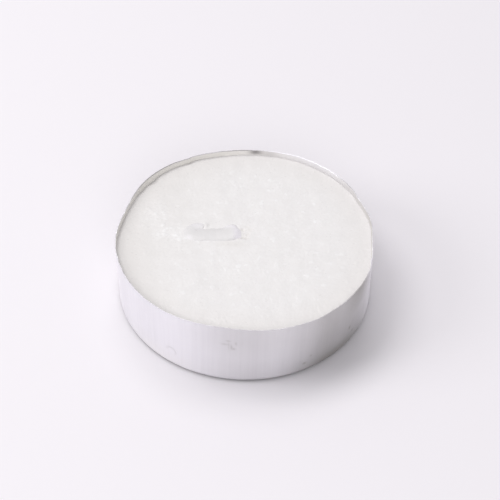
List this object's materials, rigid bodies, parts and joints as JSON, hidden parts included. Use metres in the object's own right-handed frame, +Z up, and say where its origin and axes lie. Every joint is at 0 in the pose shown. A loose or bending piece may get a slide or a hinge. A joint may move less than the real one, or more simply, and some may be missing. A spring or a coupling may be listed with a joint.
{
  "type": "tealight candle",
  "caption": "Tealight candle: a low puck of white pressed wax in a thin aluminium cup, with a waxed wick folded flat on top.",
  "frame": {"origin": "middle of the cup at the plane of the table it stands on", "axes": "+Z up, out of the wax; +Y away from the viewer of the picture; the wick is folded towards -X"},
  "size_m": [0.0378, 0.0376, 0.011],
  "materials": {
    "cup_foil": "satin",
    "wax": "satin",
    "wick_cotton": "matte",
    "tab_tinplate": "satin"
  },
  "bodies": {
    "root": {"cup": "cup_foil", "wax": "wax", "wick": "wick_cotton", "wick_tab": "tab_tinplate"}
  },
  "joints": []
}
